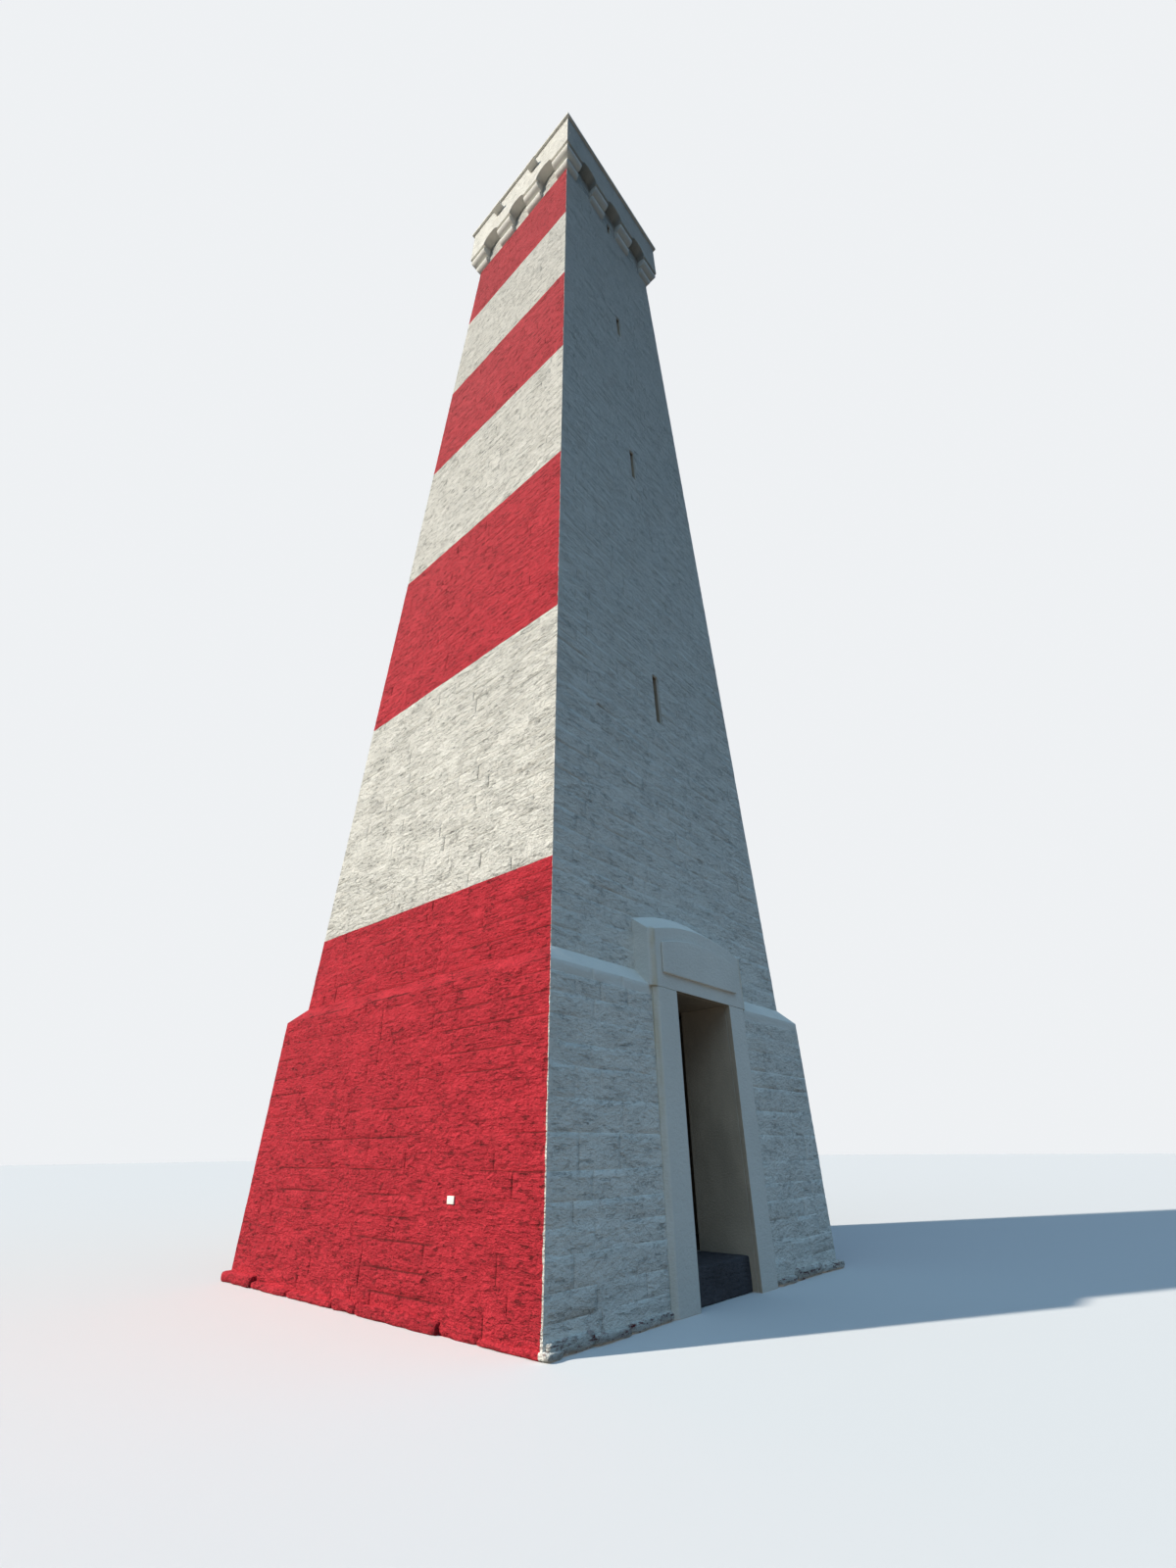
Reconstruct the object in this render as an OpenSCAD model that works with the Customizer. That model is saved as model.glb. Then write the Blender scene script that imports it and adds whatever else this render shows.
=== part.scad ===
// Square banded daymark tower of painted masonry, in millimetres, +Z up.
// The origin is the middle of the foot, at ground level.
// The door faces -Y. The other three sides carry the red and white bands.

/* [Foot and plinth] */
// Spread of a plinth face from the set-off course down to the ground
plinth_spread = 18; // [0:1:40]
// Height of the plinth walls up to the set-off course
plinth_h = 2450; // [2400:10:2480]
// Thickness of the plinth walls
plinth_wall_t = 600; // [500:10:700]
// Height of the rough footing course
footing_h = 110; // [60:10:180]
// Projection of the footing course past the plinth
footing_out = 80; // [40:5:120]

/* [Set-off course] */
// Projection of the set-off course past the foot of the shaft
setoff_out = 157; // [120:1:200]
// Height of the upright face of the set-off course
setoff_face_h = 100; // [60:10:140]
// Height of the weathered slope of the set-off course
setoff_slope_h = 160; // [120:10:220]

/* [Shaft] */
// Width of the shaft at the top of the set-off course
shaft_w = 4240; // [4150:10:4300]
// Width of the shaft at the top of the highest red band
shaft_top_w = 3366; // [3200:10:3600]
// Thickness of the shaft walls
shaft_wall_t = 500; // [400:10:600]

/* [Painted bands] */
// Height of the lowest red band, from the ground
red_1_h = 3580; // [3200:10:3800]
// Height of the first white band
white_1_h = 3410; // [2800:10:3800]
// Height of the second red band
red_2_h = 3330; // [2800:10:3800]
// Height of the second white band
white_2_h = 3320; // [2800:10:3800]
// Height of the third red band
red_3_h = 3120; // [2800:10:3800]
// Height of the third white band
white_3_h = 3330; // [2800:10:3800]
// Height of the highest red band
red_4_h = 3010; // [2800:10:3800]

/* [Corbels and parapet] */
// Height of one roll of a corbel
roll_h = 365; // [300:5:420]
// Projection of the lower roll past the shaft
lower_roll_out = 122; // [90:1:150]
// Projection of the upper roll past the shaft
upper_roll_out = 245; // [200:1:255]
// Projection of the parapet past the shaft
parapet_out = 267; // [260:1:320]
// Width of a corbel between two arches
corbel_w = 515; // [400:5:600]
// Clear span of an arch
arch_span = 560; // [480:5:640]
// Rise of an arch above the parapet's lower edge
arch_rise = 270; // [120:5:275]
// Height of the parapet, from its lower edge to the coping
parapet_h = 1680; // [1400:10:1900]
// Thickness of the parapet walls
parapet_t = 350; // [290:10:400]
// Thickness of the coping
coping_t = 90; // [60:5:140]
// Projection of the coping past the parapet, outside and inside
coping_out = 62; // [40:1:90]
// Height of the crown walls above the lower edge of the parapet
crown_lap = 310; // [290:5:380]
// Thickness of the roof slab
roof_t = 160; // [120:10:220]

/* [Lugs under the coping] */
// Width of a lug
lug_w = 300; // [250:10:400]
// Projection of a lug past the parapet
lug_out = 185; // [100:5:220]
// Thickness of a lug
lug_t = 100; // [60:10:140]
// Distance from the coping down to the top of a lug
lug_drop = 610; // [300:10:800]
// Distance between the middles of the two lugs
lug_pitch = 1420; // [1100:10:1700]
// Shift of both lugs from the middle of the parapet towards the back
lug_shift = 30; // [-100:10:100]

/* [Doorway] */
// Width of the doorway
door_w = 1030; // [900:10:1100]
// Height of the door head above the ground
door_head_z = 2535; // [2490:5:2545]
// Height of the tread and of the floor inside
floor_z = 275; // [200:5:330]
// Distance from the doorcase front back to the nosing of the step
step_inset = 90; // [60:10:200]
// Width of the head of the doorcase
case_w = 1850; // [1750:10:1950]
// Distance that each jamb stands in from the end of the head
jamb_inset = 40; // [10:5:80]
// Projection of the doorcase past the foot of the plinth
case_out = 45; // [30:5:90]
// Width of the chamfer on the doorcase corners, seen from the front
case_chamfer_w = 60; // [40:5:130]
// Depth of the chamfer on the doorcase corners
case_chamfer_d = 35; // [20:5:50]
// Height of the front edge of the head at its crown, above the door head
head_h = 700; // [650:5:760]
// Rise of the curve along the front edge of the head
head_rise = 150; // [80:5:180]
// Slope of the weathered top of the head, in degrees
head_slope = 36; // [20:1:45]
// Width of the bare plate in the head
plate_w = 1420; // [1200:10:1500]
// Projection of the plate
plate_t = 30; // [15:5:40]
// Shift of the plate from the middle of the head towards the left side
plate_shift = 40; // [0:5:60]
// Gap from the door head up to the plate
plate_rise = 145; // [120:5:180]
// Margin between the plate and the top of the head
plate_margin = 145; // [70:5:180]

/* [Slits] */
// Width of a slit outside
slit_w = 130; // [80:5:150]
// Height of a slit
slit_h = 860; // [700:10:950]
// Height of the top slit
slit_top_h = 600; // [560:10:700]
// Width of a slit inside
slit_inner_w = 420; // [300:10:520]
// Depth of the straight part of a slit
slit_lip = 140; // [80:10:200]
// Height of the first sill above the ground
slit_1_z = 6260; // [5900:10:6600]
// Height of the second sill above the ground
slit_2_z = 11830; // [11400:10:12200]
// Height of the third sill above the ground
slit_3_z = 17170; // [16800:10:17500]
// Height of the top sill above the ground
slit_4_z = 22820; // [22500:10:22900]

/* [Hidden] */

$fn = 64;
red_paint = "#c4414a";
white_paint = "#e4e4dc";
dark_stone = "#4a4f58";
grey_stone = "#8f8b80";

right = 0;
back = 90;
left = 180;
front = 270;
far = 20000;

plinth_top_half = shaft_w / 2 + setoff_out;
plinth_half = plinth_top_half + plinth_spread;
plinth_inner = plinth_half - plinth_wall_t;
setoff_edge_z = plinth_h + setoff_face_h;
shaft_z = setoff_edge_z + setoff_slope_h;

band_z = [
  shaft_z,
  red_1_h,
  red_1_h + white_1_h,
  red_1_h + white_1_h + red_2_h,
  red_1_h + white_1_h + red_2_h + white_2_h,
  red_1_h + white_1_h + red_2_h + white_2_h + red_3_h,
  red_1_h + white_1_h + red_2_h + white_2_h + red_3_h + white_3_h,
  red_1_h + white_1_h + red_2_h + white_2_h + red_3_h + white_3_h + red_4_h
];

crown_z = band_z[7];
crown_half = shaft_top_w / 2;
crown_inner = crown_half - shaft_wall_t;
parapet_z = crown_z + 2 * roll_h;
deck_z = parapet_z + crown_lap;
coping_z = parapet_z + parapet_h;
parapet_half = crown_half + parapet_out;
parapet_inner = parapet_half - parapet_t;
coping_half = parapet_half + coping_out;
coping_inner = parapet_inner - coping_out;

arch_r = arc_radius(arch_span, arch_rise);
arch_pitch = corbel_w + arch_span;
corner_start = arch_pitch + arch_span / 2;

case_half = case_w / 2;
jamb_half = case_half - jamb_inset;
case_front = plinth_half + case_out;
head_crown_z = door_head_z + head_h;
head_edge_r = arc_radius(case_w, head_rise);
head_barrel_r = arc_radius(case_w, head_rise * cos(head_slope));
plate_z = door_head_z + plate_rise;

// Front wall stages end midway between one slit and the next
stage_1_z = (slit_1_z + slit_h + slit_2_z) / 2;
stage_2_z = (slit_2_z + slit_h + slit_3_z) / 2;
stage_3_z = (slit_3_z + slit_h + slit_4_z) / 2;

// Radius of an arc with a given chord and rise
function arc_radius(chord, rise) = (pow(chord / 2, 2) + pow(rise, 2)) / (2 * rise);

// Half width of the plinth and of the shaft at a height
function plinth_at(z) = plinth_half - plinth_spread * z / setoff_edge_z;
function shaft_at(z) =
  shaft_w / 2 - (shaft_w - shaft_top_w) / 2 * (z - shaft_z) / (crown_z - shaft_z);

// Turns a piece drawn for the +X side to another side
module on_side(side) {
  rotate([0, 0, side]) children();
}

// Extrudes an upright profile, drawn as distance from the middle and height,
// along a side of the tower from y_from to y_to
module along_side(y_from, y_to) {
  translate([0, y_to, 0]) rotate([90, 0, 0]) linear_extrude(height = y_to - y_from) children();
}

// Space of the +X side, cut at 45 degrees in plan so that the sides meet in a mitre
module side_space(z_from, z_to) {
  translate([0, 0, z_from])
    linear_extrude(height = z_to - z_from) polygon([[0, 0], [far, -far], [far, far]]);
}

// Mitred length of an upright profile, for the +X side
module mitred_side(z_from, z_to, reach) {
  intersection() {
    along_side(-reach, reach) children();
    side_space(z_from - 1, z_to + 1);
  }
}

// Leaning wall of the plinth between two heights
module plinth_wall(z_from, z_to) {
  mitred_side(z_from, z_to, plinth_half)
    polygon([
      [plinth_inner, z_from], [plinth_at(z_from), z_from],
      [plinth_at(z_to), z_to], [plinth_inner, z_to]
    ]);
}

// Leaning wall of the shaft between two heights
module shaft_wall(z_from, z_to) {
  mitred_side(z_from, z_to, shaft_w / 2)
    polygon([
      [shaft_at(z_from) - shaft_wall_t, z_from], [shaft_at(z_from), z_from],
      [shaft_at(z_to), z_to], [shaft_at(z_to) - shaft_wall_t, z_to]
    ]);
}

// Upright wall behind the corbels
module crown_wall(z_from) {
  mitred_side(z_from, deck_z, crown_half)
    polygon([
      [crown_inner, z_from], [crown_half, z_from],
      [crown_half, deck_z], [crown_inner, deck_z]
    ]);
}

// Course with a weathered top, as wide as the walls below and above it
module setoff_side() {
  mitred_side(plinth_h, shaft_z, plinth_half)
    polygon([
      [plinth_inner, plinth_h], [plinth_at(plinth_h), plinth_h],
      [plinth_at(plinth_h), setoff_edge_z], [shaft_w / 2, shaft_z],
      [plinth_inner, shaft_z]
    ]);
}

// Slit through the wall on the +X side, narrow outside and splayed inside
module slit(sill_z, h) {
  lip = shaft_at(sill_z) - slit_lip;
  inner = shaft_at(sill_z) - shaft_wall_t;
  half = slit_w / 2;
  inner_half = slit_inner_w / 2;
  translate([0, 0, sill_z])
    linear_extrude(height = h)
      polygon([
        [plinth_half, -half], [lip, -half], [inner, -inner_half], [0, -inner_half],
        [0, inner_half], [inner, inner_half], [lip, half], [plinth_half, half]
      ]);
}

// One roll of a corbel in profile: a flat bed that ends in a half round
module roll_profile(z, reach) {
  r = roll_h / 2;
  intersection() {
    union() {
      translate([crown_half + reach - r, z + r]) circle(r = r);
      translate([crown_half - roll_h, z]) square([roll_h + reach - r, roll_h]);
    }
    translate([crown_half, z]) square([roll_h + reach, roll_h]);
  }
}

// Parapet wall in profile: it hangs out over the corbels and laps the crown wall
module parapet_profile() {
  polygon([
    [crown_half, parapet_z], [parapet_half, parapet_z], [parapet_half, coping_z],
    [parapet_inner, coping_z], [parapet_inner, deck_z], [crown_half, deck_z]
  ]);
}

// Round underside of an arch, cut from the overhang of the parapet
module arch_cut(y) {
  translate([crown_half, y, parapet_z + arch_rise - arch_r])
    rotate([0, 90, 0]) cylinder(r = arch_r, h = parapet_out + coping_out);
}

module parapet_side(side) {
  color(white_paint)
    on_side(side)
      difference() {
        mitred_side(parapet_z, coping_z, parapet_half) parapet_profile();
        for (i = [-1:1]) arch_cut(i * arch_pitch);
      }
}

module coping_side() {
  mitred_side(coping_z, coping_z + coping_t, coping_half)
    translate([coping_inner, coping_z]) square([coping_half - coping_inner, coping_t]);
}

// Front half of the plinth and shaft, for fitting the doorcase against them
module tower_body() {
  on_side(front)
    along_side(-plinth_half, plinth_half)
      polygon([
        [0, 0], [plinth_at(0), 0], [plinth_at(plinth_h), plinth_h],
        [plinth_at(plinth_h), setoff_edge_z], [shaft_w / 2, shaft_z],
        [shaft_at(crown_z), crown_z], [0, crown_z]
      ]);
}

// Plan of the doorcase, with its chamfered corners, for a given half width
module case_plan(half) {
  polygon([
    [plinth_inner, -half], [case_front - case_chamfer_d, -half],
    [case_front, -half + case_chamfer_w], [case_front, half - case_chamfer_w],
    [case_front - case_chamfer_d, half], [plinth_inner, half]
  ]);
}

module footing_course() {
  reach = plinth_half + footing_out;
  color(red_paint)
    difference() {
      translate([-reach, -reach, 0]) cube([2 * reach, 2 * reach, footing_h]);
      on_side(front)
        translate([0, -jamb_half, -1]) cube([far, 2 * jamb_half, footing_h + 2]);
      for (side = [right, back, left, front])
        on_side(side) plinth_wall(-1, footing_h + 1);
      translate([-plinth_inner - 1, -plinth_inner - 1, -1])
        cube([2 * plinth_inner + 2, 2 * plinth_inner + 2, footing_h + 2]);
    }
}

// Floor of stone flags on a bed that fills the foot of the tower
module ground_floor() {
  color(grey_stone)
    translate([-plinth_inner, -plinth_inner, 0])
      cube([2 * plinth_inner, 2 * plinth_inner, floor_z]);
}

module door_step() {
  color(dark_stone)
    on_side(front)
      translate([plinth_inner, -door_w / 2, 0])
        cube([case_front - step_inset - plinth_inner, door_w, floor_z]);
}

module plinth_side_walls() {
  color(red_paint) {
    on_side(left) plinth_wall(0, plinth_h);
    on_side(right) plinth_wall(0, plinth_h);
  }
}

module plinth_back_wall() {
  color(red_paint) on_side(back) plinth_wall(0, plinth_h);
}

// Front wall beside the doorway; y_side is -1 for the left one
module plinth_pier(y_side) {
  color(white_paint)
    on_side(front)
      intersection() {
        plinth_wall(0, plinth_h);
        translate([0, y_side > 0 ? door_w / 2 : -far - door_w / 2, -1])
          cube([far, far, plinth_h + 2]);
      }
}

module plinth_front_left_wall() {
  plinth_pier(-1);
}

module plinth_front_right_wall() {
  plinth_pier(1);
}

// Wall over the doorway, from the door head to the foot of the shaft
module plinth_over_door_wall() {
  color(white_paint)
    on_side(front)
      intersection() {
        translate([0, -case_half, door_head_z]) cube([far, case_w, shaft_z - door_head_z]);
        setoff_side();
      }
}

module set_off_sides() {
  color(red_paint) {
    on_side(left) setoff_side();
    on_side(right) setoff_side();
  }
}

module set_off_back() {
  color(red_paint) on_side(back) setoff_side();
}

module set_off_front() {
  color(white_paint)
    on_side(front)
      difference() {
        setoff_side();
        translate([0, -case_half, door_head_z]) cube([far, case_w, far]);
        translate([0, -door_w / 2, 0]) cube([far, door_w, far]);
      }
}

// Jamb of the doorcase; y_side is -1 for the left one
module case_jamb(y_side) {
  color(white_paint)
    difference() {
      on_side(front)
        intersection() {
          linear_extrude(height = door_head_z) case_plan(jamb_half);
          translate([0, y_side > 0 ? door_w / 2 : -far - door_w / 2, 0]) cube([far, far, far]);
        }
      tower_body();
    }
}

module doorcase_left_jamb() {
  case_jamb(-1);
}

module doorcase_right_jamb() {
  case_jamb(1);
}

// Head of the doorcase: its top is curved along the front and slopes up to the wall
module doorcase_head() {
  color(white_paint)
    difference() {
      on_side(front)
        intersection() {
          translate([0, 0, door_head_z]) linear_extrude(height = case_front) case_plan(case_half);
          translate([case_front, 0, head_crown_z])
            rotate([0, head_slope - 90, 0])
              translate([-head_barrel_r, 0, -case_front])
                cylinder(r = head_barrel_r, h = 2 * case_front, $fn = 256);
        }
      tower_body();
    }
}

module doorcase_plate() {
  half = plate_w / 2;
  plate_r = head_edge_r - plate_margin;
  color(white_paint)
    on_side(front)
      translate([case_front, 0, 0])
        rotate([90, 0, 90])
          linear_extrude(height = plate_t)
            intersection() {
              translate([-half - plate_shift, plate_z]) square([plate_w, head_crown_z - plate_z]);
              translate([0, head_crown_z - plate_margin - plate_r]) circle(r = plate_r, $fn = 256);
            }
}

// One band of the left and right walls
module side_band(i, paint) {
  color(paint) {
    on_side(left) shaft_wall(band_z[i], band_z[i + 1]);
    on_side(right) shaft_wall(band_z[i], band_z[i + 1]);
  }
}

// One band of the back wall
module back_band(i, paint) {
  color(paint) on_side(back) shaft_wall(band_z[i], band_z[i + 1]);
}

// One stage of the front wall, with its slit
module front_stage(z_from, z_to, sill_z) {
  color(white_paint)
    on_side(front)
      difference() {
        shaft_wall(z_from, z_to);
        slit(sill_z, slit_h);
      }
}

module side_walls_crown() {
  color(white_paint) {
    on_side(left) crown_wall(crown_z);
    on_side(right) crown_wall(crown_z);
  }
}

module back_wall_crown() {
  color(white_paint) on_side(back) crown_wall(crown_z);
}

module front_wall_crown() {
  color(white_paint)
    on_side(front)
      difference() {
        union() {
          shaft_wall(stage_3_z, crown_z);
          crown_wall(crown_z);
        }
        slit(slit_4_z, slit_top_h);
      }
}

// Part of a corner stone that lies on one side, up to the mitre
module corner_stone_half(z, reach) {
  intersection() {
    along_side(corner_start, parapet_half) roll_profile(z, reach);
    side_space(z - 1, z + roll_h + 1);
  }
}

// One course of corbel stones: two between the arches of each side and one round each corner
module corbel_course(z, reach) {
  color(white_paint)
    for (side = [right, back, left, front])
      on_side(side) {
        for (end = [-1, 1])
          translate([0, end * arch_pitch / 2, 0])
            along_side(-corbel_w / 2, corbel_w / 2) roll_profile(z, reach);
        corner_stone_half(z, reach);
        mirror([1, -1, 0]) corner_stone_half(z, reach);
      }
}

module lower_corbels() {
  corbel_course(crown_z, lower_roll_out);
}

module upper_corbels() {
  corbel_course(crown_z + roll_h, upper_roll_out);
}

module coping_front_back() {
  color(white_paint) {
    on_side(front) coping_side();
    on_side(back) coping_side();
  }
}

module coping_left_right() {
  color(white_paint) {
    on_side(left) coping_side();
    on_side(right) coping_side();
  }
}

module parapet_lugs() {
  color(white_paint)
    on_side(left)
      for (end = [-1, 1])
        translate([
          parapet_half, end * lug_pitch / 2 - lug_shift - lug_w / 2, coping_z - lug_drop - lug_t
        ])
          cube([lug_out, lug_w, lug_t]);
}

module roof_slab() {
  color(grey_stone)
    translate([-parapet_inner, -parapet_inner, deck_z])
      cube([2 * parapet_inner, 2 * parapet_inner, roof_t]);
}

footing_course();
ground_floor();
door_step();
plinth_side_walls();
plinth_back_wall();
plinth_front_left_wall();
plinth_front_right_wall();
plinth_over_door_wall();
set_off_sides();
set_off_back();
set_off_front();
doorcase_left_jamb();
doorcase_right_jamb();
doorcase_head();
doorcase_plate();
side_band(0, red_paint);  // side_walls_red_1
side_band(1, white_paint);  // side_walls_white_1
side_band(2, red_paint);  // side_walls_red_2
side_band(3, white_paint);  // side_walls_white_2
side_band(4, red_paint);  // side_walls_red_3
side_band(5, white_paint);  // side_walls_white_3
side_band(6, red_paint);  // side_walls_red_4
side_walls_crown();
back_band(0, red_paint);  // back_wall_red_1
back_band(1, white_paint);  // back_wall_white_1
back_band(2, red_paint);  // back_wall_red_2
back_band(3, white_paint);  // back_wall_white_2
back_band(4, red_paint);  // back_wall_red_3
back_band(5, white_paint);  // back_wall_white_3
back_band(6, red_paint);  // back_wall_red_4
back_wall_crown();
front_stage(shaft_z, stage_1_z, slit_1_z);  // front_wall_lower
front_stage(stage_1_z, stage_2_z, slit_2_z);  // front_wall_middle
front_stage(stage_2_z, stage_3_z, slit_3_z);  // front_wall_upper
front_wall_crown();
lower_corbels();
upper_corbels();
parapet_side(front);  // parapet_front
parapet_side(left);  // parapet_left
parapet_side(back);  // parapet_back
parapet_side(right);  // parapet_right
coping_front_back();
coping_left_right();
parapet_lugs();
roof_slab();
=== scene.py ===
import math
import random

import bmesh
import bpy
from mathutils import Matrix, Vector, noise


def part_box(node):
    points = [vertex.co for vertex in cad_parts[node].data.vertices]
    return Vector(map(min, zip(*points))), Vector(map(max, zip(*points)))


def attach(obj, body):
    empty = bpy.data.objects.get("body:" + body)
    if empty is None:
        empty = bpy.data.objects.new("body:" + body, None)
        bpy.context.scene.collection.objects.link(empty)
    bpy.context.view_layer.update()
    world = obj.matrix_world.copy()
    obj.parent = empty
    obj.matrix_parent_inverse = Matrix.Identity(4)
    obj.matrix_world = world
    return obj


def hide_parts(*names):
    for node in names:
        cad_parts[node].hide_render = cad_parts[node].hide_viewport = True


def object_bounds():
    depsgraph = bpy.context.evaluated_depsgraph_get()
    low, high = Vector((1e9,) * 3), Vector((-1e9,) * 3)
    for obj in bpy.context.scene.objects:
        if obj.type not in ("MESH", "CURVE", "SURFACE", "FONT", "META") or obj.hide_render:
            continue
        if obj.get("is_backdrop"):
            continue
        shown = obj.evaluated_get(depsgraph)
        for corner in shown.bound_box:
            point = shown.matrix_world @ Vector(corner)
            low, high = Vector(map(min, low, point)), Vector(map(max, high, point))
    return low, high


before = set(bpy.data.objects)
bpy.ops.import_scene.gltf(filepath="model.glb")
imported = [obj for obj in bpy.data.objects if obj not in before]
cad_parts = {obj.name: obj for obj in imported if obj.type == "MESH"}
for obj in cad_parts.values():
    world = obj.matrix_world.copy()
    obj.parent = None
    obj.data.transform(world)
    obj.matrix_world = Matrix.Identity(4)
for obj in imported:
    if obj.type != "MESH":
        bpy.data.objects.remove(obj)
cad_low, cad_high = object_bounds()


# Footing course: rough stones laid on the ground round the foot of the plinth. They
# stand proud of the walls and stop at the doorcase. They carry the same thick coat of
# matt masonry paint as the walls above them.

UP = Vector((0, 0, 1))
LEFT = Vector((-1, 0, 0))
RIGHT = Vector((1, 0, 0))
FRONT = Vector((0, -1, 0))
BACK = Vector((0, 1, 0))

WHITE_PAINT = (0.885, 0.87, 0.80, 1)
RED_PAINT = (0.62, 0.041, 0.059, 1)
# A dark tone mixed into the paint, both for dirt and for painted shade.
DIRT_AND_SHADE = (0.20, 0.18, 0.14, 1)

SET_OFF_FACE = 0.1
PLINTH_BATTER = 0.018
PLINTH_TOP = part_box("plinth_side_walls")[1].z
EDGE_Z = PLINTH_TOP + SET_OFF_FACE
SHAFT_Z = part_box("front_wall_lower")[0].z
CROWN_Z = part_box("lower_corbels")[0].z
FOOT_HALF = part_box("plinth_side_walls")[1].y
EDGE_HALF = FOOT_HALF - PLINTH_BATTER
SHAFT_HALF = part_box("side_walls_red_1")[1].y
TOP_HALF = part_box("side_walls_crown")[1].y
PLINTH_LEAN = (FOOT_HALF - EDGE_HALF) / EDGE_Z
SHAFT_LEAN = (SHAFT_HALF - TOP_HALF) / (CROWN_Z - SHAFT_Z)

FOOT_STONE_LENGTHS = (0.3, 1.1)
FOOT_STONE_BEDDED = 0.12
FOOT_STONE_GAP = 0.004
FOOT_STONE_CELL = 0.055
FOOT_STONE_LUMP = 0.012
FOOT_STONE_WEAR = 0.010
BOLD_LENGTH = 1.6


class Finish:
    """The node material of one finish, on Object coordinates."""

    def __init__(self, name):
        self.material = bpy.data.materials.new(name)
        self.material.use_nodes = True
        self.tree = self.material.node_tree
        self.shader = self.tree.nodes["Principled BSDF"]
        self.shader.inputs["Specular IOR Level"].default_value = 0.1
        self.place = self.tree.nodes.new("ShaderNodeTexCoord").outputs["Object"]

    def node(self, kind, inputs, **settings):
        """A new node with each input linked to a socket or set to a value."""
        made = self.tree.nodes.new(kind)
        for setting, value in settings.items():
            setattr(made, setting, value)
        for key, value in inputs.items():
            if isinstance(value, bpy.types.NodeSocket):
                self.tree.links.new(value, made.inputs[key])
            else:
                made.inputs[key].default_value = value
        return made

    def axes(self):
        """The sockets of the place's x, y and z, in metres."""
        return self.node("ShaderNodeSeparateXYZ", {"Vector": self.place}).outputs

    def facing_up(self):
        """1 where the face looks up, 0 where it is upright and -1 where it looks down."""
        normal = self.node("ShaderNodeNewGeometry", {}).outputs["True Normal"]
        return self.node("ShaderNodeSeparateXYZ", {"Vector": normal}).outputs["Z"]

    def cloud(self, scale, stretch=(1, 1, 1), detail=4, rough=0.55):
        """Noise about 0.5, finer where the scale is higher and shorter where it is stretched."""
        place = self.node("ShaderNodeMapping", {"Vector": self.place, "Scale": stretch})
        return self.node("ShaderNodeTexNoise", {
            "Vector": place.outputs["Vector"], "Scale": scale,
            "Detail": detail, "Roughness": rough}).outputs["Fac"]

    def ramp(self, value, low, high, to_low=0.0, to_high=1.0):
        """The value moved from one range to another, and held inside it."""
        return self.node("ShaderNodeMapRange", {
            "Value": value, "From Min": low, "From Max": high,
            "To Min": to_low, "To Max": to_high}).outputs["Result"]

    def maths(self, kind, first, second=0.0):
        """One step of arithmetic on two numbers."""
        return self.node("ShaderNodeMath", {0: first, 1: second}, operation=kind).outputs[0]

    def total(self, *layers):
        """Layers added up, each times its share."""
        whole = self.maths("MULTIPLY", *layers[0])
        for value, share in layers[1:]:
            whole = self.maths("ADD", whole, self.maths("MULTIPLY", value, share))
        return whole

    def blend(self, share, first, second):
        """A number between two others."""
        return self.node("ShaderNodeMix", {0: share, 2: first, 3: second}).outputs[0]

    def mix(self, share, first, second):
        """A colour between two others."""
        return self.node("ShaderNodeMix", {0: share, 6: first, 7: second},
                         data_type="RGBA").outputs[2]

    def shaded(self, colour, value):
        """The colour, darker below a value of 1 and lighter above it."""
        return self.node("ShaderNodeHueSaturation", {"Color": colour, "Value": value}
                         ).outputs["Color"]

    def close(self, colour, rough, height, depth):
        """Joins the colour, roughness and relief to the shader."""
        bump = self.node("ShaderNodeBump", {"Height": height, "Distance": depth})
        links = self.tree.links
        links.new(bump.outputs["Normal"], self.shader.inputs["Normal"])
        links.new(colour, self.shader.inputs["Base Color"])
        links.new(rough, self.shader.inputs["Roughness"])
        return self.material


def dirt_and_shade_tone(paint, paint_share, dirt_and_shade_share):
    """The colour of the paint darkened by dirt, and in the masonry also by painted shade."""
    return tuple(paint_share * p + dirt_and_shade_share * g for p, g in zip(paint[:3], DIRT_AND_SHADE[:3])) + (1,)


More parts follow.
